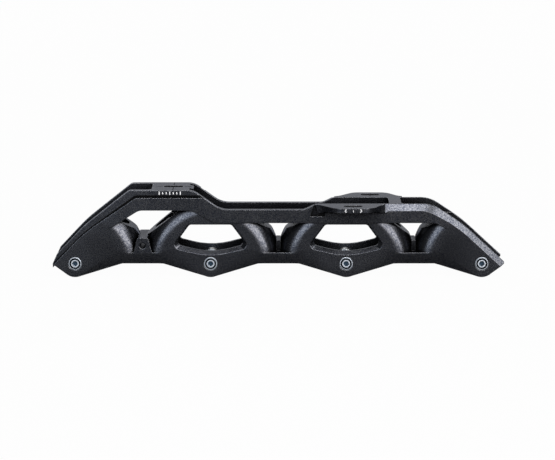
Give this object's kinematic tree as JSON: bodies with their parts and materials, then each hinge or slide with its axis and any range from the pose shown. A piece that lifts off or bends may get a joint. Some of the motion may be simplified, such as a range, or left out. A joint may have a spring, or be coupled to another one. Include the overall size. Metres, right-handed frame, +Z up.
{
  "type": "inline skate frame",
  "caption": "Cast inline skate frame with rounded wheel pods, open side windows, a slotted three-bolt boot mount and single-piece axles that screw into bushes.",
  "frame": {"origin": "under the middle of the wheelbase, on the lowest line of the frame", "axes": "+X from heel to toe, +Y to the inner side of the foot, +Z up to the boot"},
  "size_m": [0.361, 0.073, 0.0705],
  "materials": {
    "black_casting": "black powder coat with a fine speckle",
    "axle_steel": "zinc plated",
    "bush_metal": "bare turned metal"
  },
  "bodies": {
    "frame": {"frame_casting": "black_casting", "plain_bush_1": "bush_metal", "plain_bush_2": "bush_metal", "plain_bush_3": "bush_metal", "plain_bush_4": "bush_metal", "thread_bush_1": "bush_metal", "thread_bush_2": "bush_metal", "thread_bush_3": "bush_metal", "thread_bush_4": "bush_metal"},
    "axle_1": {"axle_1": "axle_steel"},
    "axle_2": {"axle_2": "axle_steel"},
    "axle_3": {"axle_3": "axle_steel"},
    "axle_4": {"axle_4": "axle_steel"}
  },
  "joints": [
    {"name": "axle_1_slide", "type": "slide", "parent": "frame", "child": "axle_1", "axis": [0, -1, 0], "range_m": [0, 0.04]},
    {"name": "axle_2_slide", "type": "slide", "parent": "frame", "child": "axle_2", "axis": [0, -1, 0], "range_m": [0, 0.04]},
    {"name": "axle_3_slide", "type": "slide", "parent": "frame", "child": "axle_3", "axis": [0, -1, 0], "range_m": [0, 0.04]},
    {"name": "axle_4_slide", "type": "slide", "parent": "frame", "child": "axle_4", "axis": [0, -1, 0], "range_m": [0, 0.04]}
  ]
}
